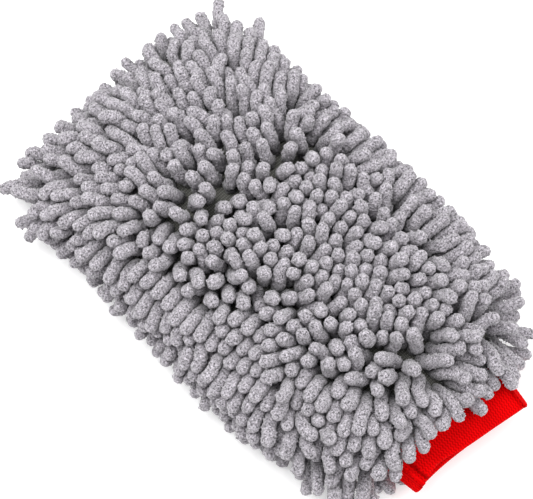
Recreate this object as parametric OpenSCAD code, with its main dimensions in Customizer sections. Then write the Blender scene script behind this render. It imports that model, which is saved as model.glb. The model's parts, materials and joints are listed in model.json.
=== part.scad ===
// Chenille wash mitt, lying on its lower face, cuff towards -Y.
// All sizes are millimetres. The origin is on the resting plane, under the middle.

/* [Bag] */
// Width of the sewn bag, seam to seam
bag_w = 144; // [120:1:160]
// Y of the closed finger end of the bag
bag_end = 135.5; // [125:0.5:140]
// Y of the mouth edge, where the cuff is sewn on (negative)
bag_mouth = -116; // [-120:1:-108]
// Width of the mouth edge
mouth_w = 86; // [76:1:96]
// Corner radius at the finger end
corner_r = 34; // [20:1:40]
// Height of the side seam above the resting plane
seam_z = 24; // [22:1:28]
// Rise of the upper panel above the side seam
crown = 19; // [15:1:24]
// Drop of the lower panel below the side seam
belly = 9; // [8:1:12]

/* [Cloth] */
// Thickness of the knitted backing that carries the pile
backing_t = 1.2; // [0.8:0.1:1.6]
// Thickness of the smooth lining
lining_t = 0.8; // [0.6:0.1:1.2]
// Gap between the backing and the lining
ply_gap = 0.3; // [0.2:0.1:0.5]
// Width of the seam allowance turned inside the bag
seam_allowance = 6; // [5:0.5:8]

/* [Chenille pile] */
// Thickness of one chenille noodle
noodle_d = 7; // [6:0.5:7.5]
// Distance between yarn rows, and about that between noodles in a row
pitch = 9; // [8.5:0.5:10]
// Length of a noodle that stands straight up
noodle_l = 21; // [18:1:24]
// Length of a noodle that points sideways, at the edge of the mitt
edge_noodle_l = 18; // [15:1:20]
// Thickness of the yarn core that joins the noodles of a row
core_t = 2; // [1.5:0.25:2.5]

/* [Cuff] */
// Length of the cuff from the seam to the folded edge
cuff_l = 33; // [28:1:42]
// Width of the flattened cuff at its folded edge
cuff_edge_w = 78; // [70:1:90]
// Thickness of the flattened cuff, both sides together
cuff_t = 14; // [13:0.5:16]
// Thickness of one ply of the rib knit
rib_t = 1.3; // [1:0.1:1.5]
// How far the cuff droops below level, in degrees
cuff_droop = 8; // [0:1:12]

/* [Hidden] */
half_bag = bag_w / 2;
half_mouth = mouth_w / 2;
half_cuff = cuff_t / 2;
last_row = 7;                      // rows 0 to 7 on each side of the middle
edge_row_x = half_bag - 1;         // the outermost row hugs the side seam
corner_y = bag_end - corner_r;
shoulder_y = -60;                  // the sides start to draw in towards the cuff here
dome_y = 60;                       // the upper panel starts to fall towards the finger end
neck_y = -50;                      // the panels start to close towards the mouth
top_power = 2.6;                   // roundness of the upper panel's section
bottom_power = 4;                  // the lower panel is flatter, because it is lain on
draw_power = 2.2;                  // how late the sides and panels draw in towards the mouth
rim_z = 0.1;                       // half the gap between the two sewn edges
clear = 0.2;                       // space between a noodle's yarn and the cloth
pressed = 0.8;                     // how much of a lower noodle's tip is pressed flat
hinge_y = bag_mouth - 2;           // the line the cuff bends about
cuff_start = 6;                    // the rib knit starts this far beyond that line
slot_t = 0.5;                      // space between the cuff's two plies
thread_d = 2;                      // thickness of an overlocked seam's thread
neck_r = 2.7;                      // a noodle is gathered to this radius where it is stitched down
neck_l = 3.4;                      // and as far from the cloth as this
core_h = 1.7;                      // height of the yarn's core above the cloth
core_gap = 1;                      // the core stops this far from each noodle's middle
mouth_margin = 7;                  // from the mouth edge to the first noodle of a row
end_margin = 1.5;                  // from the finger end to the last noodle of a row
edge_margin = 0.6;                 // from the rounded corners to the last noodle of an outer row
stitch_d = 0.8;                    // thickness of the cuff's side stitches
stitch_l = 3;                      // length of one of them
stitch_margin = 3;                 // from the rib knit's sewn end to the first of them
n_along = 16;
n_across = 14;
n_ring = 32;

// ---------- the bag's form ----------

// Half the bag's width at y, measured inside an inset.
function half_w(y, inset = 0) =
    y > corner_y
        ? half_bag - corner_r + sqrt(max(0, pow(corner_r - inset, 2) - pow(y - corner_y, 2)))
    : y > shoulder_y ? half_bag - inset
    : half_mouth - inset
        + (half_bag - half_mouth) * (1 - pow((shoulder_y - y) / (shoulder_y - bag_mouth), draw_power));

// How far a panel stands away from the seam plane at y.
function panel_h(y, rise, power, inset = 0) =
    y > dome_y
        ? (rise - inset) * pow(max(0, 1 - pow((y - dome_y) / (bag_end - inset - dome_y), power)), 1 / power)
    : y > neck_y ? rise - inset
    : half_cuff - inset
        + (rise - half_cuff)
            * pow(max(0, 1 - pow((neck_y - y) / (neck_y - bag_mouth), draw_power)), 1 / draw_power);

// Height of a panel's outer face above the seam plane at x, y.
function face_z(x, y, rise, power) =
    panel_h(y, rise, power) * pow(max(0, 1 - pow(min(1, abs(x) / half_w(y)), power)), 1 / power);

function unit(v) = v / norm(v);

// Outward direction of a panel's outer face.
function face_normal(x, y, rise, power) =
    let (s = 0.4)
    unit([face_z(x - s, y, rise, power) - face_z(x + s, y, rise, power),
          face_z(x, y - s, rise, power) - face_z(x, y + s, rise, power), 2 * s]);

// ---------- sewn panels ----------

// Stations from the mouth to the finger end, closer together round the corner.
function station_y(i, inset) =
    let (t = i / n_along)
    bag_mouth + (bag_end - inset - bag_mouth) * (t < 0.5 ? 1.3 * t : 0.65 + 0.35 * sin(180 * (t - 0.5)));

function signed_pow(v, e) = (v < 0 ? -1 : 1) * pow(abs(v), e);

// One point of a panel's face; i runs along the bag and j across it.
function face_point(i, j, rise, power, inset, base) =
    let (y = station_y(i, inset), a = 180 * j / n_across)
    [-half_w(y, inset) * signed_pow(cos(a), 2 / power), y,
     base + (panel_h(y, rise, power, inset) - (i == n_along ? 0 : base)) * pow(sin(a), 2 / power)
        * (i == n_along ? 0 : 1)];

// The edge of a panel in order: left side, finger end, right side.
edge_path = concat([for (i = [0 : n_along]) [i, 0]], [for (j = [1 : n_across]) [n_along, j]],
    [for (i = [n_along - 1 : -1 : 0]) [i, n_across]]);
n_edge = len(edge_path);

function edge_loop(inset, z) = [for (e = edge_path)
    let (p = face_point(e[0], e[1], 1, top_power, inset, 0))
    [p[0], p[1], z]];

function strip(a, b, count) = [for (k = [0 : count - 2]) each
    [[a + k, a + k + 1, b + k + 1], [a + k, b + k + 1, b + k]]];

// A domed panel with its seam allowance turned inwards. The seam plane is at z = 0.
module panel(rise, power, outset, t, base) {
    cols = n_across + 1;
    grid = cols * (n_along + 1);
    outer = [for (i = [0 : n_along]) for (j = [0 : n_across]) face_point(i, j, rise, power, outset, base)];
    inner = [for (i = [0 : n_along]) for (j = [0 : n_across])
        face_point(i, j, rise, power, outset + t, base + t)];
    rim_a = edge_loop(seam_allowance, base);
    rim_b = edge_loop(seam_allowance, base + t);
    ra = 2 * grid;
    rb = ra + n_edge;
    function o(e) = e[0] * cols + e[1];
    faces_outer = [for (i = [0 : n_along - 1]) for (j = [0 : n_across - 1]) each
        let (a = i * cols + j, b = a + cols) [[a, b, b + 1], [a, b + 1, a + 1]]];
    faces_inner = [for (f = faces_outer) [f[2] + grid, f[1] + grid, f[0] + grid]];
    faces_rim = [for (k = [0 : n_edge - 2]) each
        let (e = o(edge_path[k]), g = o(edge_path[k + 1]))
        [[e, ra + k, ra + k + 1], [e, ra + k + 1, g],
         [ra + k, rb + k, rb + k + 1], [ra + k, rb + k + 1, ra + k + 1],
         [rb + k, e + grid, g + grid], [rb + k, g + grid, rb + k + 1]]];
    faces_mouth = [for (j = [0 : n_across - 1]) each
        [[j, j + 1, j + 1 + grid], [j, j + 1 + grid, j + grid]]];
    left = [[0, grid, rb], [0, rb, ra]];
    right = [[n_across, rb + n_edge - 1, grid + n_across], [n_across, ra + n_edge - 1, rb + n_edge - 1]];
    polyhedron(concat(outer, inner, rim_a, rim_b),
        concat(faces_outer, faces_inner, faces_rim, faces_mouth, left, right), convexity = 6);
}

module on_seam(up) {
    translate([0, 0, seam_z]) mirror([0, 0, up ? 0 : 1]) children();
}

module upper_backing() {
    color("gray") on_seam(true) panel(crown, top_power, 0, backing_t, rim_z);
}

module lower_backing() {
    color("gray") on_seam(false) panel(belly, bottom_power, 0, backing_t, rim_z);
}

module upper_lining() {
    color("lightgray") on_seam(true)
        panel(crown, top_power, backing_t + ply_gap, lining_t, rim_z + backing_t + ply_gap);
}

module lower_lining() {
    color("lightgray") on_seam(false)
        panel(belly, bottom_power, backing_t + ply_gap, lining_t, rim_z + backing_t + ply_gap);
}

// The overlocked edge: one band of thread round the raw edges of all four plies.
module side_seam_thread() {
    high = rim_z + backing_t + ply_gap + lining_t;
    near = seam_allowance + clear;
    far = near + thread_d;
    loops = concat(edge_loop(near, high), edge_loop(far, high),
        edge_loop(far, -high), edge_loop(near, -high));
    sides = [for (s = [0 : 3]) each strip(s * n_edge, ((s + 1) % 4) * n_edge, n_edge)];
    first = [for (s = [0 : 3]) s * n_edge];
    last = [for (s = [3 : -1 : 0]) (s + 1) * n_edge - 1];
    faces = concat([for (f = sides) [f[2], f[1], f[0]]], [for (f = [first, last]) [f[3], f[2], f[1], f[0]]]);
    color("silver") translate([0, 0, seam_z]) polyhedron(loops, faces, convexity = 6);
}

// ---------- cuff ----------

// A flattened tube's outline, half a wide and half b thick.
function tube_loop(a, b, y) = [for (k = [0 : n_ring - 1])
    let (t = 360 * k / n_ring)
    [(a - b) * signed_pow(cos(t), 0.5) + b * cos(t), y, b * signed_pow(sin(t), 0.75)]];

function cuff_half_w(s) = half_mouth + (cuff_edge_w / 2 - half_mouth) * s / cuff_l;

module cuff_frame() {
    translate([0, hinge_y, seam_z]) rotate([cuff_droop, 0, 0]) children();
}

// One strip of rib knit sewn into a tube and folded double; the fold is the mouth of the mitt.
module cuff_rib_knit() {
    inner = 2 * rib_t + slot_t;
    fold = inner / 2;
    // Each station is [distance from the seam line, depth below the outer face].
    function run(steps, depth) = [for (k = steps) [cuff_start + (cuff_l - fold - cuff_start) * k / 3, depth]];
    profile = concat(
        run([0 : 3], 0),
        [for (a = [-60 : 30 : 60]) [cuff_l - fold + fold * cos(a), fold + fold * sin(a)]],
        run([3 : -1 : 0], inner), run([0 : 3], inner - rib_t), run([3 : -1 : 0], rib_t));
    count = len(profile);
    points = [for (p = profile) each tube_loop(cuff_half_w(p[0]) - p[1], half_cuff - p[1], -p[0])];
    faces = [for (i = [0 : count - 1]) for (k = [0 : n_ring - 1]) each
        let (a = i * n_ring, b = ((i + 1) % count) * n_ring, m = (k + 1) % n_ring)
        [[a + k, b + m, b + k], [a + k, a + m, b + m]]];
    color("red") cuff_frame() polyhedron(points, faces, convexity = 8);
}

// Stitches that close the cuff's strip into a tube, down its right-hand fold.
module cuff_side_seam_thread() {
    stitches = 6;
    step = (cuff_l - cuff_start - stitch_l - stitch_margin - 1) / (stitches - 1);
    color("darkred") cuff_frame()
        for (i = [0 : stitches - 1]) {
            s = cuff_start + stitch_margin + i * step;
            translate([cuff_half_w(s + stitch_l) + stitch_d, -s, 0])
                rotate([90, 0, 0])
                    cylinder(d = stitch_d, h = stitch_l, $fn = 16);
        }
}

// The overlocked ring that joins the rib knit to the mouth of the bag.
module cuff_seam_thread() {
    rings = 8;
    r = thread_d / 2;
    middle = tube_loop(half_mouth - r, half_cuff, bag_mouth - r - clear - clear);
    points = [for (k = [0 : n_ring - 1])
        let (p = middle[k], t = unit(middle[(k + 1) % n_ring] - middle[(k + n_ring - 1) % n_ring]),
             side = unit(cross(t, [0, 1, 0])))
        each [for (j = [0 : rings - 1])
            let (a = 360 * j / rings)
            p + r * cos(a) * side + r * sin(a) * [0, 1, 0]]];
    faces = [for (k = [0 : n_ring - 1]) for (j = [0 : rings - 1]) each
        let (a = k * rings, b = ((k + 1) % n_ring) * rings, m = (j + 1) % rings)
        [[a + j, b + m, b + j], [a + j, a + m, b + m]]];
    color("darkred") translate([0, 0, seam_z]) polyhedron(points, faces, convexity = 6);
}

// ---------- chenille yarn rows ----------

// X of row k; the last row on each side runs along the side seam.
function row_x(k) = abs(k) > last_row ? sign(k) * edge_row_x : k * pitch;

// The first and last noodle of a row, from the outline of the bag.
function row_start(x) =
    let (t = max(0, 1 - (abs(x) + 1 - half_mouth) / (half_bag - half_mouth)))
    max(bag_mouth + mouth_margin, shoulder_y - (shoulder_y - bag_mouth) * pow(min(1, t), 1 / draw_power) + 1);

function row_stop(x) =
    let (d = abs(x) - (half_bag - corner_r))
    d <= 0 ? bag_end - end_margin : corner_y + sqrt(pow(corner_r - edge_margin, 2) - d * d) - 1;

// Turns the children's Z axis to point from a to b, starting at a.
module along(a, b) {
    v = b - a;
    translate(a) rotate([0, acos(v[2] / norm(v)), atan2(v[1], v[0])]) children();
}

// A noodle standing on the cloth: narrow where it is stitched down, round at its free end.
module noodle(l) {
    r = noodle_d / 2;
    rotate_extrude($fn = 24)
        polygon(concat([[0, 0], [neck_r, 0], [neck_r, neck_l], [r, neck_l + 1]],
            [for (a = [0, 35, 65]) [r * cos(a), l - r + r * sin(a)]], [[0, l]]));
}

// One continuous chenille yarn: a core along the cloth, looped up into a noodle at every pitch.
module yarn_row(k, up) {
    x = row_x(k);
    rise = up ? crown : belly;
    power = up ? top_power : bottom_power;
    start = row_start(x);
    stop = row_stop(x);
    count = round((stop - start) / pitch);
    ys = [for (i = [0 : count]) start + (stop - start) * i / count];
    normals = [for (y = ys) face_normal(x, y, rise, power)];
    roots = [for (i = [0 : count]) [x, ys[i], face_z(x, ys[i], rise, power)] + clear * normals[i]];
    for (i = [0 : count]) {
        reach = up ? edge_noodle_l + (noodle_l - edge_noodle_l) * normals[i][2] : seam_z - belly + pressed;
        along(roots[i], roots[i] + normals[i]) noodle(reach);
        if (i < count) {
            a = roots[i] + core_h * normals[i];
            b = roots[i + 1] + core_h * normals[i + 1];
            along(a + core_gap * unit(b - a), b)
                translate([-core_t / 2, -core_t / 2, 0])
                    cube([core_t, core_t, norm(b - a) - 2 * core_gap]);
        }
    }
}

module upper_row(k) {
    color("lightgray") on_seam(true) yarn_row(k, true);
}

// The tips of the lower rows are pressed flat where the mitt lies on them.
module lower_row(k) {
    color("darkgray") difference() {
        on_seam(false) yarn_row(k, false);
        translate([-bag_w, -2 * bag_end, -seam_z]) cube([2 * bag_w, 4 * bag_end, seam_z]);
    }
}

upper_backing();
lower_backing();
upper_lining();
lower_lining();
side_seam_thread();
cuff_seam_thread();
cuff_rib_knit();
cuff_side_seam_thread();
for (i = [1 : 17]) {
    tag = str(i < 10 ? "0" : "", i);
    upper_row(i - 9);
    lower_row(i - 9);
}
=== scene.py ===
# Chenille wash mitt: grey noodle pile on both faces, red rib-knit cuff. Metres, in the CAD frame.
import json
import math

import bmesh
import bpy
import numpy as np
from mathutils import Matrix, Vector
from mathutils.bvhtree import BVHTree


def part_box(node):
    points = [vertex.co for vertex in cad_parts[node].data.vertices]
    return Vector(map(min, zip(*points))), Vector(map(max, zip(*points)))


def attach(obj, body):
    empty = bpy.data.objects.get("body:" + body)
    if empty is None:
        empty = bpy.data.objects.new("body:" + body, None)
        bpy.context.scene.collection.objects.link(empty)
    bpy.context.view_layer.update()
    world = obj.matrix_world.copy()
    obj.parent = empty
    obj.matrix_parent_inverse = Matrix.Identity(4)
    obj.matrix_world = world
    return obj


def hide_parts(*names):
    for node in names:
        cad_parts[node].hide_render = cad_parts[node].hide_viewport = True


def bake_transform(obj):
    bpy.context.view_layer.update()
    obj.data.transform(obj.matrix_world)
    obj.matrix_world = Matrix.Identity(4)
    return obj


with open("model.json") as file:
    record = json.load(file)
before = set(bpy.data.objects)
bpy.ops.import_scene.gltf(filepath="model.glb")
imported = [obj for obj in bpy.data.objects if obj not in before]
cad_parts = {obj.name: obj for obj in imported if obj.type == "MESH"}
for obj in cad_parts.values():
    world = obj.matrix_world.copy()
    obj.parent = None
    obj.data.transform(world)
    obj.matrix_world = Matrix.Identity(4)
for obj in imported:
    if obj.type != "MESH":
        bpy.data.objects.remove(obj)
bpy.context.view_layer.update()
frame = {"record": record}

MM = 0.001
TAU = 2 * math.pi
rng = np.random.default_rng(7)

# ---------- sizes, from the CAD boxes ----------

upper_lo, upper_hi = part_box("upper_backing")
lower_lo, lower_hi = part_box("lower_backing")
cuff_lo, cuff_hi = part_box("cuff_rib_knit")
mouth_lo, mouth_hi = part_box("cuff_seam_thread")
(cuff_joint,) = frame["record"]["behaviour"]["joints"]
HINGE = np.array(cuff_joint["pos_m"])

SEAM_Z = HINGE[2]
HALF_BAG = upper_hi[0]
BAG_MOUTH = upper_lo[1]
BAG_END = upper_hi[1]
CROWN = upper_hi[2] - SEAM_Z
BELLY = SEAM_Z - lower_lo[2]
HALF_MOUTH = mouth_hi[0]
CORNER_R = 34 * MM
CORNER_Y = BAG_END - CORNER_R
SHOULDER_Y = -60 * MM
DOME_Y = 60 * MM
NECK_Y = -50 * MM
HALF_CUFF = (mouth_hi[2] - mouth_lo[2]) / 2 - 1 * MM
CUFF_DROOP = math.radians(8)
CUFF_L = (HINGE[1] - cuff_lo[1]) / math.cos(CUFF_DROOP) - 0.8 * MM
UPPER = dict(rise=CROWN, power=2.6, sign=1)
LOWER = dict(rise=BELLY, power=4, sign=-1)

# How the half width is drawn in from the shoulder to the mouth.
DRAWN_POWER = 2.2

LAST_ROW = 7
# The outermost row stands almost on the side seam; a second line on the upper face stands further in.
OUTER_ROW_X = HALF_BAG - 0.3 * MM
SECOND_LINE_X = HALF_BAG - 10 * MM
SECOND_LINE_INSET = 4 * MM
THINNING = 0.18
ROOT_SHIFT = 2.8 * MM
# Extra noodles on the upper face, where the pile parts along a line: x, y in millimetres.
EXTRA = [(-52, 67), (-47, 74), (-33, 80), (-27, 77), (-20, 75), (-13, 73), (-6, 70),
         (-30, 16), (-26, 9), (-21, 2), (-16, -6), (-11, -14), (-6, -22), (20, -92), (28, -97)]
PITCH = 9 * MM
UPPER_SPACING = 7.7 * MM
NOODLE_R = 3.92 * MM
NOODLE_L = 24.5 * MM
CORE = 0.89
# Shares of a noodle's length: added at the mouth, taken off along the edges, added at the finger corners.
MOUTH_LONGER = 0.12
EDGE_SHORTER = 0.25
CORNER_LONGER = 0.55
# Where the edges begin, as a share of the way out, and how far the shortening takes to come in.
EDGE_START = 0.82
EDGE_FADE = 0.15


# ---------- the bag's form, as in the CAD ----------

def half_width(y, inset=0.0):
    """Half the bag's width at y, measured inside an inset."""
    y = np.asarray(y, float)
    corner = np.sqrt(np.maximum(0, (CORNER_R - inset) ** 2 - np.maximum(0, y - CORNER_Y) ** 2))
    end = HALF_BAG - CORNER_R + corner
    drawn = np.clip((SHOULDER_Y - y) / (SHOULDER_Y - BAG_MOUTH), 0, 1) ** DRAWN_POWER
    shoulder = HALF_MOUTH - inset + (HALF_BAG - HALF_MOUTH) * (1 - drawn)
    return np.where(y > CORNER_Y, end, np.where(y > SHOULDER_Y, HALF_BAG - inset, shoulder))


def panel_height(y, panel, inset=0.0):
    """How far a panel stands away from the seam plane at y."""
    y = np.asarray(y, float)
    rise, power = panel["rise"], panel["power"]
    far = np.clip((y - DOME_Y) / (BAG_END - inset - DOME_Y), 0, 1) ** power
    near = np.clip((NECK_Y - y) / (NECK_Y - BAG_MOUTH), 0, 1) ** 2.2
    finger = (rise - inset) * (1 - far) ** (1 / power)
    neck = HALF_CUFF - inset + (rise - HALF_CUFF) * (1 - near) ** (1 / 2.2)
    return np.where(y > DOME_Y, finger, neck)


def face_z(x, y, panel):
    """Height of a panel's outer face above the resting plane."""
    across = np.clip(np.abs(x) / np.maximum(half_width(y), 1e-6), 0, 1) ** panel["power"]
    return SEAM_Z + panel["sign"] * panel_height(y, panel) * (1 - across) ** (1 / panel["power"])


def unit(v):
    return v / np.maximum(np.linalg.norm(v, axis=-1, keepdims=True), 1e-12)


def face_normal(x, y, panel):
    s = 0.4 * MM
    dx = face_z(x + s, y, panel) - face_z(x - s, y, panel)
    dy = face_z(x, y + s, panel) - face_z(x, y - s, panel)
    return unit(panel["sign"] * np.stack([-dx, -dy, np.full_like(dx, 2 * s)], -1))


# ---------- meshes ----------

def mesh_object(name, points, faces, material, smooth=True):
    mesh = bpy.data.meshes.new(name)
    mesh.from_pydata(np.asarray(points).tolist(), [], np.asarray(faces).tolist() if len(faces) else [])
    mesh.validate()
    shell = bmesh.new()
    shell.from_mesh(mesh)
    bmesh.ops.recalc_face_normals(shell, faces=shell.faces)
    shell.to_mesh(mesh)
    shell.free()
    mesh.update()
    obj = bpy.data.objects.new(name, mesh)
    bpy.context.scene.collection.objects.link(obj)
    mesh.materials.append(material)
    mesh.polygons.foreach_set("use_smooth", np.full(len(mesh.polygons), smooth))
    return obj


def grid_faces(rows, cols, close_rows=False, close_cols=False):
    """Quads of a grid whose points are numbered row by row."""
    i = np.arange(rows if close_rows else rows - 1)
    j = np.arange(cols if close_cols else cols - 1)
    i, j = (g.ravel() for g in np.meshgrid(i, j, indexing="ij"))
    i2, j2 = (i + 1) % rows, (j + 1) % cols
    return np.stack([i * cols + j, i * cols + j2, i2 * cols + j2, i2 * cols + j], 1)


# ---------- the bag and cuff as closed solids that the pile lies on ----------

def panel_face(panel, inset=0.0, rows=72, cols=48, base=0.0):
    """Grid of points on one face of a panel, from the mouth to the finger end and from left to right."""
    t = np.linspace(0, 1, rows)
    t = np.where(t < 0.5, 1.3 * t, 0.65 + 0.35 * np.sin(math.pi * (t - 0.5)))
    y = (BAG_MOUTH + (BAG_END - inset - BAG_MOUTH) * t)[:, None]
    a = np.linspace(0, math.pi, cols)[None, :]
    power = 2 / panel["power"]
    x = -half_width(y, inset) * np.sign(np.cos(a)) * np.abs(np.cos(a)) ** power
    z = base + (panel_height(y, panel, inset) - base) * np.abs(np.sin(a)) ** power
    z[-1] = base
    return np.stack([x, np.broadcast_to(y, x.shape), SEAM_Z + panel["sign"] * z], -1)


def tube_section(turn, half, thick):
    """A flattened tube's outline in x and z, and the way out of it; turn runs evenly round it."""
    flat, quarter = half - thick, 0.5 * math.pi * thick
    turn = turn % TAU
    above = turn < math.pi
    way = np.where(above, turn, TAU - turn) / math.pi * 2 * (flat + quarter)
    first_bend = np.clip(way / thick, 0, 0.5 * math.pi)
    second_bend = np.clip((way - quarter - 2 * flat) / thick, 0, 0.5 * math.pi)
    angle = first_bend + second_bend
    middle = flat - np.clip(way - quarter, 0, 2 * flat)
    up = np.where(above, 1, -1) * np.sin(angle)
    return middle + thick * np.cos(angle), thick * up, up


def cuff_to_row(p, droop=CUFF_DROOP):
    """From the cuff's own frame, x across, y out of the mitt and z up, to the row frame."""
    c, s = math.cos(droop), math.sin(droop)
    out = np.empty_like(p)
    out[..., 0] = p[..., 0] + HINGE[0]
    out[..., 1] = HINGE[1] - (p[..., 1] * c + p[..., 2] * s)
    out[..., 2] = HINGE[2] - p[..., 1] * s + p[..., 2] * c
    return out


class Solid:
    """Signed distance to a closed mesh, sampled on a grid."""

    def __init__(self, points, faces, low, high, cell=3 * MM):
        tree = BVHTree.FromPolygons(points.tolist(), faces.tolist())
        self.low, self.cell = np.array(low), cell
        self.shape = np.ceil((np.array(high) - self.low) / cell).astype(int) + 1
        self.value = np.empty(self.shape)
        for index in np.ndindex(*self.shape):
            p = Vector(self.low + cell * np.array(index))
            near, normal, _, distance = tree.find_nearest(p)
            self.value[index] = math.copysign(distance, (p - near).dot(normal))
        if self.value[0, 0, -1] < 0:  # the mesh was wound inwards
            self.value *= -1

    def distance(self, p):
        q = np.clip((p - self.low) / self.cell, 0, self.shape - 1.001)
        i = q.astype(int)
        f = q - i
        total = 0
        for dx in (0, 1):
            for dy in (0, 1):
                for dz in (0, 1):
                    weight = np.abs(1 - dx - f[:, 0]) * np.abs(1 - dy - f[:, 1]) * np.abs(1 - dz - f[:, 2])
                    total = total + weight * self.value[i[:, 0] + dx, i[:, 1] + dy, i[:, 2] + dz]
        return total

    def push(self, p, room):
        """The move that takes points that are closer than room straight out of the solid."""
        short = room - self.distance(p)
        near = np.flatnonzero(short > 0)
        move = np.zeros_like(p)
        if len(near):
            step = 0.5 * self.cell
            slope = np.stack([self.distance(p[near] + d) - self.distance(p[near] - d)
                              for d in step * np.eye(3)], 1)
            move[near] = unit(slope) * short[near, None]
        return move


def bag_solid():
    top, bottom = panel_face(UPPER, rows=48, cols=32), panel_face(LOWER, rows=48, cols=32)
    rows, cols = top.shape[:2]
    faces = grid_faces(rows, cols)
    mouth = np.concatenate([top[0], bottom[0, ::-1]])
    points = np.concatenate([top.reshape(-1, 3), bottom.reshape(-1, 3), [mouth.mean(0)]])
    hub, n = len(points) - 1, rows * cols
    cap = [[hub, j + 1, j] for j in range(cols - 1)] + [[hub, n + j, n + j + 1] for j in range(cols - 1)]
    quads = np.concatenate([faces[:, ::-1], faces + n])
    tris = np.concatenate([quads[:, [0, 1, 2]], quads[:, [0, 2, 3]], np.array(cap)])
    margin = 30 * MM
    return Solid(points, tris, [-HALF_BAG - margin, BAG_MOUTH - margin, -2 * MM],
                 [HALF_BAG + margin, BAG_END + margin, SEAM_Z + CROWN + margin])


def cuff_solid():
    """The cuff, thickened downwards to where it reaches bent down, so no noodle lies in its way."""
    around = 32
    x, z, _ = tube_section(np.linspace(0, TAU, around, endpoint=False), HALF_MOUTH, HALF_CUFF)
    rows = []
    for s in np.linspace(-4 * MM, CUFF_L, 6):
        low = cuff_to_row(np.stack([x, np.full_like(x, s), np.minimum(z, 0)], -1),
                          CUFF_DROOP - math.radians(cuff_joint["range_deg"][0]))
        high = cuff_to_row(np.stack([x, np.full_like(x, s), np.maximum(z, 0)], -1))
        rows.append(np.where((z > 0)[:, None], high, low))
    rows = np.array(rows)
    points = np.concatenate([rows.reshape(-1, 3), [rows[0].mean(0)], [rows[-1].mean(0)]])
    quads = grid_faces(len(rows), around, close_cols=True)[:, ::-1]
    first, last, base = len(points) - 2, len(points) - 1, around * (len(rows) - 1)
    caps = [[first, j, (j + 1) % around] for j in range(around)]
    caps += [[last, base + (j + 1) % around, base + j] for j in range(around)]
    tris = np.concatenate([quads[:, [0, 1, 2]], quads[:, [0, 2, 3]], np.array(caps)])
    low_corner = [-75 * MM, cuff_lo[1] - 12 * MM, -2 * MM]
    high_corner = [75 * MM, BAG_MOUTH + 14 * MM, 60 * MM]
    return Solid(points, tris, low_corner, high_corner)


# ---------- laying the pile ----------

def row_x(k):
    return math.copysign(OUTER_ROW_X, k) if abs(k) > LAST_ROW else k * PITCH


def row_span(x):
    """Y of the first and last noodle of a row, from the outline of the bag."""
    drawn = min(1, max(0, 1 - (abs(x) + MM - HALF_MOUTH) / (HALF_BAG - HALF_MOUTH)))
    start = max(BAG_MOUTH + 5 * MM, SHOULDER_Y - (SHOULDER_Y - BAG_MOUTH) * drawn ** (1 / DRAWN_POWER) + MM)
    past = min(abs(x) - (HALF_BAG - CORNER_R), CORNER_R - MM)
    if past <= 0:
        stop = BAG_END - 1.5 * MM
    else:
        stop = CORNER_Y + math.sqrt((CORNER_R - 0.6 * MM) ** 2 - past ** 2) - MM
    return start, stop


# How the pile lies on the upper face: place x, y in mm, heading in degrees from +X,
# and lean, where 1 is 45 degrees.
LAY_UPPER = [
    # finger end, combed outwards round both corners
    (76, 122, 47, 2.8), (49, 127, 73, 2.8), (15, 120, 90, 2.8), (-16, 120, 110, 2.8), (-40, 120, 127, 2.8),
    (-76, 122, 140, 2.8), (-76, 98, 165, 2.4), (-62, 85, 155, 1.9), (-37, 100, 133, 2.3),
    (-45, 68, 170, 0.5), (-11, 78, 115, 0.8),
    (28, 86, 85, 1.8), (56, 87, 52, 2.2), (82, 90, 0, 2.0),
    # right side
    (73, 45, -10, 1.5), (72, -8, -20, 1.5), (71, -53, -25, 1.5), (62, -85, -40, 1.8),
    # left side
    (-84, 67, 188, 2.6), (-79, 33, 202, 2.8), (-76, 5, 213, 3.0), (-62, -27, 215, 2.8), (-57, -70, 222, 3.2),
    # the middle stands up, with a few locks thrown about
    (51, 54, 47, 0.9), (21, 59, 65, 0.6), (-24, 62, 225, 0.3), (-24, 29, 225, 0.35), (36, 15, 225, 0.25),
    (51, -25, -5, 0.5), (36, -56, 225, 0.2), (-53, 39, 217, 0.9), (-40, -6, 200, 0.6), (-22, -56, 225, 0.3),
    (-16, 6, 135, 0.35), (-15, -9, -50, 0.3), (0, -6, 25, 0.5), (7, -22, 30, 0.6), (8, -37, 20, 0.7),
    (-20, -30, -105, 0.3), (-33, -25, 205, 0.6), (-11, -41, -45, 0.8), (-35, -48, 163, 1.0),
    # near the mouth it falls away from two partings and hangs over the cuff, further on the right
    (45, -92, 20, 0.8), (23, -86, 83, 0.4), (5, -78, 47, 0.4), (-5, -69, 75, 0.5), (-23, -72, 120, 0.8),
    (-37, -83, 200, 1.2), (-12, -97, 210, 1.0), (14, -100, -40, 0.7), (30, -106, -80, 1.2),
    (-48, -92, 224, 3.0), (-37, -98, 222, 2.0), (-28, -104, 220, 1.2), (-27, -114, 222, 0.8),
    (-11, -115, 235, 1.2), (-1, -117, 243, 1.6), (8, -121, 255, 1.8), (25, -120, 262, 2.1),
    (36, -122, 268, 2.2), (47, -119, 275, 2.0),
]
LAY_REACH = 13.5 * MM
CORNER, CORNER_REACH = np.array([72, 118]) * MM, 20 * MM
LOCKS, LOCK_REACH, LOCK_LEAN = 90, 9 * MM, 0.30
# How far along its lean a noodle reads the lay again, and how much each one leans on its own.
LAY_AHEAD = 9 * MM
RANDOM_LEAN = 0.20
# Places where the pile parts and the backing shows: x, y and how wide, in millimetres.
PARTINGS = [(37, -100, 4), (5, -91, 4)]


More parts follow.
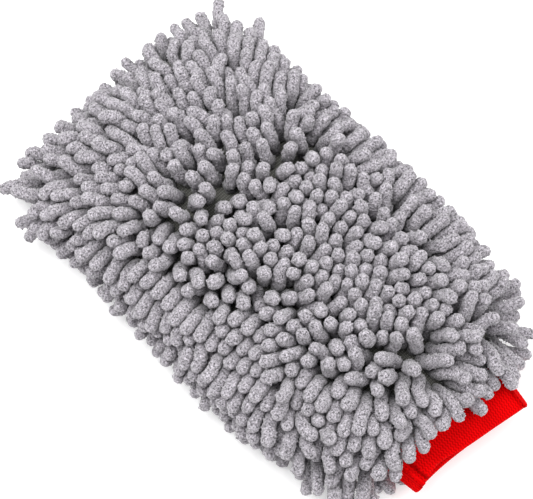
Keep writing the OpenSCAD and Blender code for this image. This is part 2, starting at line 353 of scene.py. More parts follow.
def lay_at(xy, upper):
    """The way the pile leans at each place, as a vector along the cloth."""
    if upper:
        x, y, heading, amount = np.array(LAY_UPPER, float).T
        heading = np.radians(heading)
        leans = amount[:, None] * np.stack([np.cos(heading), np.sin(heading)], 1)
        away = np.linalg.norm(xy[:, None] - np.stack([x, y], 1)[None] * MM, axis=2)
        weight = np.exp(-(away / LAY_REACH) ** 2) + 0.02 / (1 + (away / LAY_REACH) ** 4)
        lean = (weight[:, :, None] * leans).sum(1) / weight.sum(1, keepdims=True)
        for x, y, wide in PARTINGS:
            out = xy - np.array([x, y]) * MM
            far = np.linalg.norm(out, axis=1, keepdims=True)
            lean += 0.5 * unit(out) * np.exp(-(far / (wide * MM)) ** 2)
        return lean
    # The lower pile is pressed outwards all round.
    middle = np.array([0, 10 * MM])
    return 1.8 * (xy - middle) / np.array([HALF_BAG, BAG_END])


def plant():
    """Roots, first directions, lengths and radii of all noodles, and the row each belongs to."""
    roots, ways, rows = [], [], []
    # small locks of neighbouring noodles that lean the same odd way
    locks = rng.uniform([-HALF_BAG, BAG_MOUTH], [HALF_BAG, BAG_END], (LOCKS, 2))
    pulls = rng.normal(0, LOCK_LEAN, (LOCKS, 2))
    for upper in (True, False):
        panel = UPPER if upper else LOWER
        for k in range(-LAST_ROW - 1, LAST_ROW + 2):
            start, stop = row_span(row_x(k))
            count = round((stop - start) / (UPPER_SPACING if upper else PITCH)) + 1
            y = np.linspace(start, stop, count)
            if upper:  # the pile thins out towards the finger end
                y -= (stop - start) * THINNING * np.sin(math.pi * np.linspace(0, 1, count)) / math.pi
            inner = np.ones(count)
            inner[[0, -1]] = 0
            y += inner * (rng.uniform(-1.3, 1.3, count) * MM + (PITCH / 4 if k % 2 else -PITCH / 4))
            x = np.full(count, row_x(k))
            if abs(k) <= LAST_ROW:
                x += rng.uniform(-0.8, 0.8, count) * MM
            if upper and abs(row_x(k)) < HALF_MOUTH - PITCH:
                # one more at the mouth, between this row and the next, thickens the fringe over the cuff
                x = np.append(x, x[0] + PITCH / 2)
                y = np.append(y, start)
                inner = np.append(inner, 0)
            if upper and abs(k) > LAST_ROW:
                # a second line further in, each noodle halfway between two of the outermost row
                more = y[:-1] + 0.5 * np.diff(y)
                side = np.minimum(SECOND_LINE_X, half_width(more) - SECOND_LINE_INSET)
                x = np.append(x, np.copysign(side, k))
                y = np.append(y, more)
                inner = np.append(inner, 0 * more)
            for more_x, more_y in EXTRA if upper else []:
                if round(more_x * MM / PITCH) == k:
                    x = np.append(x, more_x * MM)
                    y = np.append(y, more_y * MM)
                    inner = np.append(inner, 0)
            count = len(x)
            if upper and abs(k) <= LAST_ROW:
                # roots shift against the lean, so that cloth shows less where the pile parts
                shift = -ROOT_SHIFT * lay_at(np.stack([x, y], 1), upper) * inner[:, None]
                shift[:, 0] *= 1 - np.abs(x / HALF_BAG) ** 3
                y = np.clip(y + shift[:, 1], start, stop)
                limit = half_width(y) - 3 * MM
                x = np.clip(x + shift[:, 0], -limit, limit)
            normal = face_normal(x, y, panel)
            root = np.stack([x, y, face_z(x, y, panel)], -1)
            lean = lay_at(root[:, :2], upper)
            size = np.linalg.norm(lean, axis=1, keepdims=True)
            lean = lay_at(root[:, :2] + LAY_AHEAD * lean / (1 + size), upper)
            away = np.linalg.norm(root[:, None, :2] - locks[None], axis=2)
            lean += np.exp(-(away / LOCK_REACH) ** 2) @ pulls
            lean = np.concatenate([lean, np.zeros((count, 1))], 1)
            lean += rng.normal(0, RANDOM_LEAN, (count, 3))
            lean -= normal * (lean * normal).sum(1, keepdims=True)
            roots.append(root)
            ways.append(unit(normal + lean))
            rows += [(upper, k + LAST_ROW + 2)] * count
    roots, ways = np.concatenate(roots), np.concatenate(ways)
    length = NOODLE_L * np.clip(rng.normal(1, 0.07, len(roots)), 0.8, 1.15)
    length *= 1 + MOUTH_LONGER * np.clip((NECK_Y - roots[:, 1]) / (NECK_Y - BAG_MOUTH), 0, 1)
    # longer at the two finger corners, shorter along the side seams and the middle of the finger end
    edge = np.maximum(np.abs(roots[:, 0]) / HALF_BAG, 0.50 + 0.4 * roots[:, 1] / BAG_END)
    corner = np.exp(-(np.hypot(np.abs(roots[:, 0]) - CORNER[0], roots[:, 1] - CORNER[1]) / CORNER_REACH) ** 2)
    length *= 1 - EDGE_SHORTER * np.clip((edge - EDGE_START) / EDGE_FADE, 0, 1) + CORNER_LONGER * corner
    radius = NOODLE_R * np.clip(rng.normal(1, 0.045, len(roots)), 0.9, 1.1)
    return roots, ways, length, radius, rows


def close_pairs(points, owner, reach):
    """Index pairs of points of different noodles that are nearer than reach."""
    cell = np.floor(points / reach).astype(np.int64)
    cell -= cell.min(0) - 1
    size = cell.max(0) + 2
    key = (cell[:, 0] * size[1] + cell[:, 1]) * size[2] + cell[:, 2]
    order = np.argsort(key, kind="stable")
    sorted_key = key[order]
    found = []
    for dx in (-1, 0, 1):
        for dy in (-1, 0, 1):
            for dz in (-1, 0, 1):
                offset = (dx * size[1] + dy) * size[2] + dz
                if offset < 0:
                    continue
                first = np.searchsorted(sorted_key, key + offset, "left")
                count = np.searchsorted(sorted_key, key + offset, "right") - first
                a = np.repeat(np.arange(len(points)), count)
                b = order[np.repeat(first - np.cumsum(count) + count, count) + np.arange(count.sum())]
                keep = (owner[a] != owner[b]) & ((offset > 0) | (a < b))
                a, b = a[keep], b[keep]
                near = ((points[a] - points[b]) ** 2).sum(1) < reach ** 2
                found.append(np.stack([a[near], b[near]], 1))
    return np.concatenate(found)


def add_at(target, index, move):
    for axis in range(3):
        target[:, axis] += np.bincount(index, move[:, axis], len(target))


NODES = 8


def relax(roots, ways, length, radius, rounds):
    """Let the noodles push each other, the cloth and the floor apart, and settle."""
    count = len(roots)
    bag, cuff = bag_solid(), cuff_solid()
    part = (length - radius) / (NODES - 1)
    bend = unit(np.cross(ways, rng.normal(0, 1, (count, 3)))) * rng.uniform(0, 0.055, (count, 1))
    steps = unit(ways[:, None] + bend[:, None] * np.arange(NODES - 1)[None, :, None] ** 1.3)
    rest = np.concatenate([np.zeros((count, 1, 3)), np.cumsum(steps * part[:, None, None], 1)], 1)
    start = roots + 0.6 * MM * ways
    p = (start[:, None] + rest).reshape(-1, 3)
    held = np.zeros(len(p), bool)
    held[::NODES] = True
    owner = np.repeat(np.arange(count), NODES)
    r = 1.04 * np.repeat(radius, NODES) * np.tile(np.concatenate([[0.55, 0.8], np.ones(NODES - 2)]), count)
    room = np.where(np.tile(np.arange(NODES), count) < 2, 0, r)
    fixed = p[held].copy()
    for turn in range(rounds):
        if turn % 6 == 0:
            pairs = close_pairs(p, owner, 2.7 * NOODLE_R)
        settle = min(1, 2 * turn / rounds)
        p[:, 2] -= 0.05 * MM * settle
        # each noodle springs back towards the way it lies
        shape = p.reshape(count, NODES, 3)
        spring = 0.05 * (1 - 0.6 * settle)
        shape += spring * (start[:, None] + rest - shape)
        # noodles push each other apart
        a, b = pairs.T
        apart = p[a] - p[b]
        gap = np.linalg.norm(apart, axis=1)
        deep = r[a] + r[b] - gap
        hit = deep > 0
        a, b, apart = a[hit], b[hit], apart[hit] / np.maximum(gap[hit, None], 1e-9) * deep[hit, None]
        move, hits = np.zeros_like(p), np.bincount(np.concatenate([a, b]), minlength=len(p))
        add_at(move, a, 0.5 * apart)
        add_at(move, b, -0.5 * apart)
        p += 1.3 * move / np.maximum(hits, 1)[:, None] ** 0.7
        # a noodle keeps its length and resists bending
        shape = p.reshape(count, NODES, 3)
        for _ in range(2):
            for skip, strength in ((2, 0.5), (1, 1.0)):
                one, two = shape[:, :-skip], shape[:, skip:]
                line = two - one
                long = np.linalg.norm(line, axis=2, keepdims=True)
                want = skip * part[:, None, None]
                if skip == 2:
                    want = np.maximum(long, 0.985 * want)
                fix = 0.5 * strength * (long - want) * line / np.maximum(long, 1e-9)
                change = np.zeros_like(shape)
                change[:, :-skip] += fix
                change[:, skip:] -= fix
                shape += 0.5 * change if skip == 1 else change
            shape[:, 0] = fixed
        if turn % 2 == 0:
            p += bag.push(p, room) + cuff.push(p, room)
        p[:, 2] = np.maximum(p[:, 2], r + 0.3 * MM)
        p[held] = fixed
    return p.reshape(count, NODES, 3)


# ---------- noodles ----------

def smooth_path(nodes, per_span):
    """Catmull-Rom points through each noodle's nodes; nodes is (noodles, NODES, 3)."""
    before = 2 * nodes[:, :1] - nodes[:, 1:2]
    after = 2 * nodes[:, -1:] - nodes[:, -2:-1]
    k = np.concatenate([before, nodes, after], 1)
    out = []
    for t in np.arange(per_span) / per_span:
        a, b, c, d = k[:, :-3], k[:, 1:-2], k[:, 2:-1], k[:, 3:]
        out.append(0.5 * (2 * b + (c - a) * t + (2 * a - 5 * b + 4 * c - d) * t ** 2
                          + (3 * b - a - 3 * c + d) * t ** 3))
    points = np.stack(out, 2).reshape(len(nodes), -1, 3)
    return np.concatenate([points, nodes[:, -1:]], 1)


def noodle_meshes(nodes, radius, rings_per_span, segments):
    """Fuzzy tubes with round ends: points (noodles, rings, segments, 3) with a pole after them, and faces."""
    path = smooth_path(nodes, rings_per_span)
    count, shaft = path.shape[:2]
    tangent = unit(np.gradient(path, axis=1))
    dome = np.radians(np.array([14, 28, 42, 55, 67, 78]))
    end = path[:, -1:] + radius[:, None, None] * np.sin(dome)[None, :, None] * tangent[:, -1:]
    middle = np.concatenate([path, end], 1)
    tangent = np.concatenate([tangent, np.repeat(tangent[:, -1:], len(dome), 1)], 1)
    # frames carried along the noodle without twist
    side = np.empty_like(middle)
    across = unit(np.cross(tangent[:, 0], rng.normal(0, 1, (count, 3))))
    for i in range(middle.shape[1]):
        across = unit(across - tangent[:, i] * (across * tangent[:, i]).sum(1, keepdims=True))
        side[:, i] = across
    up = np.cross(tangent, side)
    along = np.concatenate([[0], np.cumsum(np.linalg.norm(np.diff(middle[0], axis=0), axis=1))])
    rings = middle.shape[1]
    shape = np.ones(rings)
    shape[shaft:] = np.cos(dome)
    neck = np.clip(along / (5 * MM), 0, 1)
    shape[:shaft] *= 0.62 + 0.38 * neck[:shaft] ** 0.6
    turn = np.linspace(0, TAU, segments, endpoint=False)
    phase = rng.uniform(0, TAU, (count, 1, 1))
    twist = rng.uniform(0, TAU, (count, 1, 1))
    # chenille: fine rounds of cut pile along the core, a slow swell, and ragged fibre ends
    rounds = np.sin(TAU * along[None, :, None] / (1.35 * MM) + phase + 1.1 * np.sin(turn + twist))
    swell = np.sin(TAU * along[None, :, None] / (9 * MM) + 2 * phase + turn)
    ragged = rng.gamma(2.0, 1.0, (count, rings, segments)) - 2.0
    ragged = 0.7 * ragged + 0.15 * (np.roll(ragged, 1, 2) + np.roll(ragged, 1, 1))
    girth = radius[:, None, None] * (CORE * shape[None, :, None] * (1 + 0.022 * swell + 0.045 * rounds)
                                     + 0.062 * ragged * np.minimum(1, 0.3 + shape[None, :, None]))
    points = (middle[:, :, None] + girth[..., None] * (np.cos(turn)[None, None, :, None] * side[:, :, None]
                                                       + np.sin(turn)[None, None, :, None] * up[:, :, None]))
    points[..., 2] = np.maximum(points[..., 2], 0.05 * MM)
    pole = middle[:, -1] + (1 - math.sin(dome[-1])) * radius[:, None] * tangent[:, -1]
    root = middle[:, 0]
    body = grid_faces(rings, segments, close_cols=True)
    n = rings * segments
    last = n - segments
    cap = np.array([[last + j, last + (j + 1) % segments, n] for j in range(segments)])
    foot = np.array([[(j + 1) % segments, j, n + 1] for j in range(segments)])
    points = np.concatenate([points.reshape(count, -1, 3), pole[:, None], root[:, None]], 1)
    return points, body, np.concatenate([cap, foot])


def build_pile(material):
    roots, ways, length, radius, rows = plant()
    rounds = 260
    nodes = relax(roots, ways, length, radius, rounds)
    keys = sorted(set(rows), key=lambda r: (not r[0], r[1]))
    rows = np.array([keys.index(r) for r in rows])
    pieces = []
    for number, (upper, k) in enumerate(keys):
        pick = rows == number
        fine = (8, 24) if upper else (5, 16)
        points, quads, tris = noodle_meshes(nodes[pick], radius[pick], *fine)
        count, each = points.shape[:2]
        shift = (np.arange(count) * each)[:, None, None]
        faces = (quads[None] + shift).reshape(-1, 4).tolist() + (tris[None] + shift).reshape(-1, 3).tolist()
        node = f"{'upper' if upper else 'lower'}_yarn_row_{k:02d}"
        piece = mesh_object(f"{node}_chenille", points.reshape(-1, 3), [], material)
        piece.data.clear_geometry()
        piece.data.from_pydata(points.reshape(-1, 3).tolist(), [], faces)
        piece.data.update()
        piece.data.polygons.foreach_set("use_smooth", np.ones(len(piece.data.polygons), bool))
        # pile_height, 0 at the root to 1 at the tip, drives the chenille's painted shade down at the roots
        depth = np.concatenate([np.repeat(np.linspace(0, 1, (each - 2) // fine[1]), fine[1]), [1, 0]])
        attribute = piece.data.attributes.new("pile_height", "FLOAT", "POINT")
        attribute.data.foreach_set("value", np.tile(depth, count).astype(np.float32))
        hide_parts(node)
        if points[..., 1].min() < BAG_MOUTH:
            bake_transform(piece)
        else:
            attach(piece, "mitt")
        pieces.append(piece)
    return pieces


# ---------- materials ----------

def new_material(name):
    material = bpy.data.materials.new(name)
    material.use_nodes = True
    tree = material.node_tree
    return material, tree, tree.nodes["Principled BSDF"]


def add(tree, kind, inputs=None, **settings):
    node = tree.nodes.new(kind)
    for key, value in settings.items():
        setattr(node, key, value)
    for key, value in (inputs or {}).items():
        if isinstance(value, bpy.types.NodeSocket):
            tree.links.new(value, node.inputs[key])
        else:
            node.inputs[key].default_value = value
    return node


def ramp(tree, factor, stops):
    """A colour ramp; stops are (place, (r, g, b)) or (place, grey)."""
    node = add(tree, "ShaderNodeValToRGB", {"Fac": factor})
    elements = node.color_ramp.elements
    while len(elements) < len(stops):
        elements.new(0.5)
    for element, (at, color) in zip(elements, stops):
        element.position = at
        element.color = (*color, 1) if hasattr(color, "__len__") else (color, color, color, 1)
    return node.outputs["Color"]


def multiply(tree, *colors):
    result = colors[0]
    for color in colors[1:]:
        node = tree.nodes.new("ShaderNodeVectorMath")
        node.operation = "MULTIPLY"
        tree.links.new(result, node.inputs[0])
        tree.links.new(color, node.inputs[1])
        result = node.outputs[0]
    return result


def bump(tree, height, distance, strength, onto=None):
    inputs = {"Height": height, "Distance": distance, "Strength": strength}
    if onto is not None:
        inputs["Normal"] = onto
    return add(tree, "ShaderNodeBump", inputs).outputs["Normal"]


def cloth_shader(shader, roughness, sheen, sheen_tint=(1, 1, 1)):
    shader.inputs["Roughness"].default_value = roughness
    shader.inputs["Specular IOR Level"].default_value = 0.2
    shader.inputs["Sheen Weight"].default_value = sheen
    shader.inputs["Sheen Roughness"].default_value = 0.5
    shader.inputs["Sheen Tint"].default_value = (*sheen_tint, 1)


def chenille_material():
    """Cut microfibre pile: pale lilac grey with a random fibre grain, painted shade in the crevices between
    the fibre ends and between the fibre tufts, and painted shade down at the roots.
    """
    material, tree, shader = new_material("chenille")
    place = add(tree, "ShaderNodeTexCoord").outputs["Object"]
    fibre = add(tree, "ShaderNodeTexNoise", {"Vector": place, "Scale": 950, "Detail": 4, "Roughness": 0.85})
    tuft = add(tree, "ShaderNodeTexVoronoi", {"Vector": place, "Scale": 1000})
    patch = add(tree, "ShaderNodeTexNoise", {"Vector": place, "Scale": 60, "Detail": 2})
    height = add(tree, "ShaderNodeAttribute", attribute_name="pile_height")
    # fibre grain: partly the yarn's own flecks, partly painted shade in the crevices between fibre ends and
    # painted light on the fibre tips
    fleck = ramp(tree, fibre.outputs["Fac"],
                 [(0.40, (0.03, 0.028, 0.031)), (0.48, (0.49, 0.459, 0.503)), (0.60, (0.80, 0.752, 0.822))])
    # painted shade between the fibre tufts, darker away from each tuft's middle
    painted_tuft_shade = ramp(tree, tuft.outputs["Distance"], [(0.2, 1.0), (0.8, 0.5)])
    tone = ramp(tree, patch.outputs["Fac"], [(0.3, 0.9), (0.7, 1.0)])
    # painted shade down at the roots, where the pile shades itself: pile_height runs from 0 at the root to 1
    # at the tip
    root = ramp(tree, height.outputs["Fac"], [(0.0, 0.05), (0.35, 0.55), (0.62, 1.0)])
    tree.links.new(multiply(tree, fleck, painted_tuft_shade, tone, root), shader.inputs["Base Color"])
    rough = bump(tree, tuft.outputs["Distance"], 0.0005, 0.6)
    tree.links.new(bump(tree, fibre.outputs["Fac"], 0.0007, 0.9, rough), shader.inputs["Normal"])
    cloth_shader(shader, 0.95, 0.5)
    return material


def knit_material(name, color, scale, depth, sheen=0.2):
    """Fine warp knit: small staggered loops, with painted shade in their hollows and a painted highlight on
    their tops.
    """
    material, tree, shader = new_material(name)
    place = add(tree, "ShaderNodeTexCoord").outputs["Object"]
    wale = add(tree, "ShaderNodeTexWave", {"Vector": place, "Scale": scale, "Distortion": 1.5, "Detail": 1},
               bands_direction="X")
    course = add(tree, "ShaderNodeTexWave",
                 {"Vector": place, "Scale": 0.7 * scale, "Distortion": 1.5, "Detail": 1},
                 bands_direction="Y")
    patch = add(tree, "ShaderNodeTexNoise", {"Vector": place, "Scale": 90, "Detail": 3})
    loops = multiply(tree, wale.outputs["Color"], course.outputs["Color"])
    # the loops' hollows get painted shade and their tops a painted highlight
    dark = [0.45 * c for c in color]
    pale = [min(1, 1.15 * c) for c in color]
    shade = ramp(tree, loops, [(0.05, dark), (0.5, color), (1.0, pale)])
    tone = ramp(tree, patch.outputs["Fac"], [(0.3, 0.85), (0.7, 1.0)])
    tree.links.new(multiply(tree, shade, tone), shader.inputs["Base Color"])
    tree.links.new(bump(tree, loops, depth, 0.8), shader.inputs["Normal"])
    cloth_shader(shader, 0.85, sheen)
    return material


def rib_material():
    """Bright red rib knit; the ribs and their zigzag are in the mesh, the yarn's fibres are here, and the
    grooves between the ribs get painted shade.
    """
    material, tree, shader = new_material("rib_knit")
    place = add(tree, "ShaderNodeTexCoord").outputs["Object"]
    fibre = add(tree, "ShaderNodeTexNoise", {"Vector": place, "Scale": 2200, "Detail": 3, "Roughness": 0.6})
    patch = add(tree, "ShaderNodeTexNoise", {"Vector": place, "Scale": 120, "Detail": 3})
    rib = add(tree, "ShaderNodeAttribute", attribute_name="rib_height")
    # the red is the yarn's own; the darker low stop is painted shade in the grooves between the ribs, read
    # from rib_height
    depth = ramp(tree, rib.outputs["Fac"], [(0.0, (0.34, 0.0, 0.0)), (0.4, (0.76, 0.0, 0.001)),
                                            (1.0, (0.86, 0.001, 0.002))])
    fleck = ramp(tree, fibre.outputs["Fac"], [(0.3, 0.82), (0.6, 1.0)])
    tone = ramp(tree, patch.outputs["Fac"], [(0.3, 0.9), (0.7, 1.0)])
    tree.links.new(multiply(tree, depth, fleck, tone), shader.inputs["Base Color"])
    tree.links.new(bump(tree, fibre.outputs["Fac"], 0.0003, 0.6), shader.inputs["Normal"])
    cloth_shader(shader, 0.9, 0.1, (1, 0.0, 0.0))
    shader.inputs["Specular IOR Level"].default_value = 0.05
    return material


def thread_material(name, color):
    """Two-ply sewing thread."""
    material, tree, shader = new_material(name)
    place = add(tree, "ShaderNodeTexCoord").outputs["Object"]
    twist = add(tree, "ShaderNodeTexWave", {"Vector": place, "Scale": 900, "Distortion": 2},
                bands_direction="DIAGONAL")
    # the dark half of the twist is painted shade in the grooves between the plies
    dark = [0.5 * c for c in color]
    tree.links.new(ramp(tree, twist.outputs["Fac"], [(0.1, dark), (0.6, color)]), shader.inputs["Base Color"])
    tree.links.new(bump(tree, twist.outputs["Fac"], 0.0003, 0.6), shader.inputs["Normal"])
    cloth_shader(shader, 0.6, 0.15, [c / max(color) for c in color])
    return material


# ---------- sewn panels ----------

BACKING_T = 1.2 * MM
LINING_T = 0.8 * MM
PLY_GAP = 0.3 * MM
SEAM_ALLOWANCE = 6 * MM
RIM_Z = 0.1 * MM


def edge_route(rows, cols):
    """Grid indices along a panel's sewn edge: left side, finger end, right side."""
    left = [(i, 0) for i in range(rows)]
    end = [(rows - 1, j) for j in range(1, cols)]
    right = [(i, cols - 1) for i in range(rows - 2, -1, -1)]
    return left + end + right


def build_panel(node, panel, outset, thick, base, material):
    """A domed cloth panel with its seam allowance turned inwards."""
    rows, cols = 88, 64
    outer = panel_face(panel, outset, rows, cols, base)
    inner = panel_face(panel, outset + thick, rows, cols, base + thick)
    route = edge_route(rows, cols)
    rim = panel_face(UPPER, SEAM_ALLOWANCE, rows, cols)
    rim = np.array([rim[i, j] for i, j in route])
    rims = []
    for z in (base, base + thick):
        rims.append(rim.copy())
        rims[-1][:, 2] = SEAM_Z + panel["sign"] * z
    points = np.concatenate([outer.reshape(-1, 3), inner.reshape(-1, 3), *rims])
    n, m = rows * cols, len(route)
    faces = grid_faces(rows, cols)
    edge = np.array([i * cols + j for i, j in route])
    a, b = 2 * n + np.arange(m), 2 * n + m + np.arange(m)
    chain = [edge, a, b, edge + n]
    sides = [np.stack([p[:-1], p[1:], q[1:], q[:-1]], 1) for p, q in zip(chain, chain[1:])]
    j = np.arange(cols - 1)
    mouth = np.stack([j, j + n, j + 1 + n, j + 1], 1)
    ends = np.array([[edge[0], a[0], b[0], edge[0] + n], [edge[-1] + n, b[-1], a[-1], edge[-1]]])
    faces = np.concatenate([faces[:, ::-1], faces + n, *sides, mouth, ends])
    if panel["sign"] < 0:
        faces = faces[:, ::-1]
    piece = mesh_object(f"{node}_cloth", points, faces, material)
    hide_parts(node)
    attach(piece, "mitt")
    return piece


def tube_along(path, radius, segments, closed=False):
    """Points and faces of a thread along a path, with closed ends unless the path is a loop."""
    path = np.asarray(path, float)
    step = np.roll(path, -1, 0) - np.roll(path, 1, 0) if closed else np.gradient(path, axis=0)
    tangent = unit(step)
    helper = np.where(np.abs(tangent[:, 2:3]) > 0.9, [[1.0, 0, 0]], [[0, 0, 1.0]])
    side = unit(np.cross(tangent, helper))
    up = np.cross(tangent, side)
    turn = np.linspace(0, TAU, segments, endpoint=False)[None, :, None]
    points = path[:, None] + radius * (np.cos(turn) * side[:, None] + np.sin(turn) * up[:, None])
    faces = grid_faces(len(path), segments, close_rows=closed, close_cols=True).tolist()
    if not closed:
        last = (len(path) - 1) * segments
        faces.append(list(range(segments - 1, -1, -1)))
        faces.append(list(range(last, last + segments)))
    return points.reshape(-1, 3), faces


def join_tubes(name, tubes, material):
    points, faces, start = [], [], 0
    for p, f in tubes:
        points.append(p)
        faces += [[start + i for i in face] for face in f]
        start += len(p)
    mesh = bpy.data.meshes.new(name)
    mesh.from_pydata(np.concatenate(points).tolist(), [], faces)
    mesh.update()
    mesh.polygons.foreach_set("use_smooth", np.ones(len(mesh.polygons), bool))
    mesh.materials.append(material)
    obj = bpy.data.objects.new(name, mesh)
    bpy.context.scene.collection.objects.link(obj)
    return obj


def resample(path, spacing):
    path = np.asarray(path, float)
    along = np.concatenate([[0], np.cumsum(np.linalg.norm(np.diff(path, axis=0), axis=1))])
    at = np.linspace(0, along[-1], max(2, round(along[-1] / spacing) + 1))
    return np.stack([np.interp(at, along, path[:, axis]) for axis in range(3)], 1)


def build_side_seam(material):
    """Overlock stitches wrapped round the raw edges of all four plies, inside the bag."""
    rows, cols = 88, 64
    rim = panel_face(UPPER, SEAM_ALLOWANCE, rows, cols)
    route = np.array([rim[i, j] for i, j in edge_route(rows, cols)])
    route[:, 2] = SEAM_Z
    route = resample(route, 2.6 * MM)
    inward = unit(np.cross(np.gradient(route, axis=0), [0, 0, 1.0]))
    high = RIM_Z + BACKING_T + PLY_GAP + LINING_T + 0.3 * MM
    turn = np.linspace(0, TAU, 13)[:-1]
    tubes = []
    for k in range(len(route) - 1):
        step = route[k + 1] - route[k]
        loop = [route[k] + step * (0.3 + 0.35 * math.sin(t)) + inward[k] * (0.4 * MM + 1.6 * MM * math.cos(t))
                + np.array([0, 0, high * math.sin(t)]) for t in turn]
        tubes.append(tube_along(loop, 0.28 * MM, 6, closed=True))
    for z in (high, -high):
        tubes.append(tube_along(route - inward * 1.2 * MM + np.array([0, 0, z]), 0.28 * MM, 6))
    piece = join_tubes("side_seam_overlock", tubes, material)
    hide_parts("side_seam_thread")
    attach(piece, "mitt")
    return piece


# ---------- cuff ----------

RIBS = 100
RIB_DEPTH = 0.6 * MM
ZIGZAG = 1.15 * MM
PLY_T = 1.3 * MM
# The folded edge: its half width, its half thickness, and how much longer the cuff is at its right end
# than in the middle, and shorter at its left end.
EDGE_HALF = 38.4 * MM
EDGE_THICK = 3.8 * MM
EDGE_SLANT = 4.3 * MM


def cuff_outline(turn, along):
    """The relaxed cuff's outline in x and z, at a turn round it and a share of the way along it."""
    half = HALF_MOUTH + (EDGE_HALF - HALF_MOUTH) * along
    thick = HALF_CUFF + (EDGE_THICK - HALF_CUFF) * along
    x, z, s = tube_section(turn, half, thick)
    across = x / half
    # the upper ply sags between its folds, and the cloth ripples a little
    z = z - np.where(s > 0, 1, 0.35) * 1.2 * MM * along * (1 - across ** 2) ** 2
    z = z + 0.6 * MM * np.sin(4.3 * across + 2.3 * along) * along * (1 - across ** 2)
    # the mouth gapes a little on the left, beside two creases
    z = z + 1.6 * MM * s * along ** 2 * np.exp(-((across + 0.55) / 0.3) ** 2)
    for crease in (-0.90, -0.80):
        z = z - 0.45 * MM * np.maximum(s, 0) ** 0.3 * np.exp(-((across - crease) / 0.022) ** 2)
    return x, z


def cuff_length(turn):
    """How far the folded edge reaches: longer on the right, and the upper ply is drawn back on the left."""
    x, _, up = tube_section(turn, HALF_MOUTH, EDGE_THICK)
    across = x / HALF_MOUTH
    drawn = 2.4 * MM * (1 - across ** 2) * (1 - 0.6 * across)
    gape = 3.0 * MM * np.maximum(up, 0) ** 0.5 * np.exp(-((across + 0.5) / 0.3) ** 2)
    return CUFF_L - EDGE_THICK + EDGE_SLANT * across - drawn - gape


def build_cuff(material):
    """One strip of rib knit, folded double at the mouth."""
    segments, start = RIBS * 6, -1.5 * MM
    number = np.arange(segments) * RIBS / segments
    turn = TAU * number / RIBS
    reach = cuff_length(turn)
    fold = PLY_T + 0.3 * MM
    slot = fold - PLY_T
    # stations round the folded strip: share of the length, angle round the fold, its radius, ribs' height
    stations = [(t, 0.0, fold, 1.0) for t in np.linspace(0, 1, 84)]
    stations += [(1.0, a, fold, 0.8) for a in np.linspace(0, math.pi, 9)[1:-1]]
    stations += [(t, math.pi, fold, 0.5) for t in np.linspace(1, 0, 40)]
    stations += [(t, math.pi, slot, 0.0) for t in np.linspace(0, 1, 5)]
    stations += [(1.0, 0.5 * math.pi, slot, 0.0)]
    stations += [(t, 0.0, slot, 0.0) for t in np.linspace(1, 0, 5)]
    points, ribs = [], []
    for share, bend, radius, amount in stations:
        s = start + share * (reach - fold - start) + radius * math.sin(bend)
        depth = fold - radius * math.cos(bend)
        along = np.clip(s / CUFF_L, 0, 1)
        x, z = cuff_outline(turn, along)
        # outward direction of the outline
        nx = np.roll(z, 1) - np.roll(z, -1)
        nz = np.roll(x, -1) - np.roll(x, 1)
        long = np.hypot(nx, nz)
        nx, nz = -nx / long, nz / long
        sign = np.sign(nx * x + nz * z + 1e-12)
        nx, nz = nx * np.where(sign < 0, -1, 1), nz * np.where(sign < 0, -1, 1)
        wave = 0.5 * np.abs((s / ZIGZAG) % 2 - 1) - 0.25
        column = 0.5 + 0.5 * np.cos(TAU * (number + wave))
        stitch = 0.5 + 0.5 * np.cos(TAU * s / ZIGZAG + math.pi * np.round(number))
        rib = np.clip(column ** 0.8 * (0.80 + 0.20 * stitch), 0, 1)
        lift = RIB_DEPTH * amount * (rib - 0.5) * (1 if bend < 2 else -1)
        x = x + nx * (lift - depth)
        z = z + nz * (lift - depth)
        points.append(cuff_to_row(np.stack([x, np.broadcast_to(s, x.shape), z], -1)))
        ribs.append(rib)
    faces = grid_faces(len(points), segments, close_rows=True, close_cols=True)
    piece = mesh_object("cuff_rib_knit_cloth", np.array(points).reshape(-1, 3), faces, material)
    # rib_height carries the rib profile that the rib material turns into painted shade in the grooves
    attribute = piece.data.attributes.new("rib_height", "FLOAT", "POINT")
    attribute.data.foreach_set("value", np.array(ribs).ravel().astype(np.float32))
    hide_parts("cuff_rib_knit")
    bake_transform(piece)
    return piece


def build_cuff_seam(material):
    """The overlocked ring that joins the rib knit to the mouth of the bag."""
    turn = np.linspace(0, TAU, 240, endpoint=False)
    x, z = cuff_outline(turn, 0.0)
    ring = np.stack([1.01 * x, np.full_like(x, -1.0 * MM), 1.04 * z], -1)
    ring = resample(np.concatenate([ring, ring[:1]]), 2.4 * MM)[:-1]
    tubes = []
    for k in range(len(ring)):
        a, b = ring[k], ring[(k + 1) % len(ring)]
        out = unit(np.array([a[0] * 0.05, 0, a[2]]))
        for skew in (0.15, 0.75):
            path = [a + (b - a) * (skew + 0.3 * t) + np.array([0, -3.2 * MM + 4.6 * MM * t, 0])
                    + out * (0.25 * MM + 0.55 * MM * math.sin(math.pi * t)) for t in np.linspace(0, 1, 7)]
            tubes.append(tube_along(cuff_to_row(np.array(path)), 0.26 * MM, 6))
    piece = join_tubes("cuff_join_overlock", tubes, material)
    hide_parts("cuff_seam_thread")
    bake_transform(piece)
    return piece


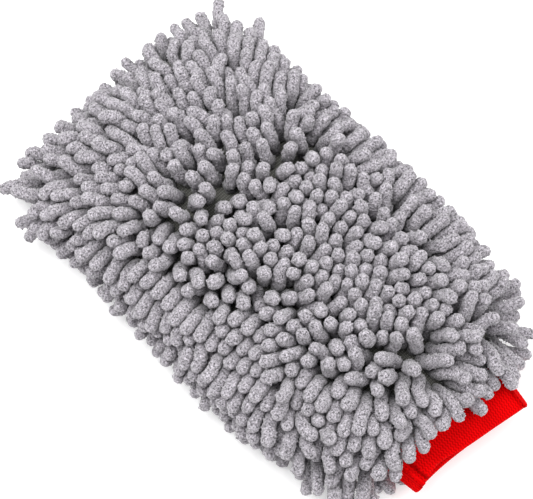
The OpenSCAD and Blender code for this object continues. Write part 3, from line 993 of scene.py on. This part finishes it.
def build_cuff_side_seam(material):
    """A line of stitches down the cuff's right-hand fold."""
    tubes = []
    reach = cuff_length(np.array([0.0]))[0]
    for s in np.arange(3 * MM, reach - 3 * MM, 2.6 * MM):
        x, z = cuff_outline(np.array([-0.08]), s / CUFF_L)
        for lean in (-1, 1):
            path = [np.array([x[0] + 0.15 * MM * math.sin(math.pi * t), s + 2.2 * MM * t,
                              z[0] + lean * 0.9 * MM * (t - 0.5)]) for t in np.linspace(0, 1, 6)]
            tubes.append(tube_along(cuff_to_row(np.array(path)), 0.24 * MM, 6))
    piece = join_tubes("cuff_side_seam_stitches", tubes, material)
    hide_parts("cuff_side_seam_thread")
    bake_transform(piece)
    return piece


# ---------- camera, light and floor ----------

def build_stage():
    floor = mesh_object("floor", [[-3, -3, 0], [3, -3, 0], [3, 3, 0], [-3, 3, 0]], [[0, 1, 2, 3]],
                        bpy.data.materials.new("floor"), smooth=False)
    floor.data.materials[0].use_nodes = True
    shader = floor.data.materials[0].node_tree.nodes["Principled BSDF"]
    shader.inputs["Base Color"].default_value = (0.93, 0.93, 0.93, 1)
    shader.inputs["Roughness"].default_value = 0.9
    shader.inputs["Emission Color"].default_value = (1, 1, 1, 1)
    shader.inputs["Emission Strength"].default_value = 0.22


def direction(azimuth, elevation):
    a, e = math.radians(azimuth), math.radians(elevation)
    return Vector((math.sin(a) * math.cos(e), -math.cos(a) * math.cos(e), math.sin(e)))


def area_light(name, azimuth, elevation, distance, size, power, target):
    data = bpy.data.lights.new(name, "AREA")
    data.size = size
    data.energy = power
    light = bpy.data.objects.new(name, data)
    way = direction(azimuth, elevation)
    light.location = target + distance * way
    light.rotation_euler = way.to_track_quat("Z", "Y").to_euler()
    bpy.context.scene.collection.objects.link(light)


def build_camera():
    target = Vector((-0.0046, 0.0085, 0.031))
    way = direction(-43.8, 69.8)
    camera = bpy.data.objects.new("camera", bpy.data.cameras.new("camera"))
    camera.data.lens = 85
    camera.data.sensor_width = 36
    camera.location = target + 0.70 * way
    camera.rotation_euler = way.to_track_quat("Z", "Y").to_euler()
    bpy.context.scene.collection.objects.link(camera)
    bpy.context.scene.camera = camera


def build_lights():
    target = Vector((0, 0, 0.03))
    area_light("key", -150, 70, 0.9, 0.6, 7.2, target)
    area_light("fill", 40, 50, 1.2, 1.0, 8.0, target)
    area_light("rim", 178, 22, 0.9, 0.5, 0.8, target)
    world = bpy.data.worlds.new("studio")
    world.use_nodes = True
    world.node_tree.nodes["Background"].inputs["Color"].default_value = (1, 1, 1, 1)
    world.node_tree.nodes["Background"].inputs["Strength"].default_value = 0.64
    bpy.context.scene.world = world
    bpy.context.scene.view_settings.view_transform = "Standard"


# ---------- the mitt ----------

build_camera()
build_lights()
build_stage()

# the backing's very dark grey is partly its own colour and partly painted shade, so that it reads as the deep
# shade in the gaps under the pile
backing = knit_material("backing_knit", (0.19, 0.19, 0.17), 300, 0.0005)
lining = knit_material("lining", (0.48, 0.48, 0.49), 420, 0.0002)
grey_thread = thread_material("seam_thread", (0.5, 0.5, 0.5))
red_thread = thread_material("cuff_thread", (0.55, 0.004, 0.01))

LINING_BASE = RIM_Z + BACKING_T + PLY_GAP
for level, panel in (("upper", UPPER), ("lower", LOWER)):
    build_panel(f"{level}_backing", panel, 0.0, BACKING_T, RIM_Z, backing)
    build_panel(f"{level}_lining", panel, BACKING_T + PLY_GAP, LINING_T, LINING_BASE, lining)
build_side_seam(grey_thread)
build_cuff(rib_material())
build_cuff_seam(red_thread)
build_cuff_side_seam(red_thread)
build_pile(chenille_material())
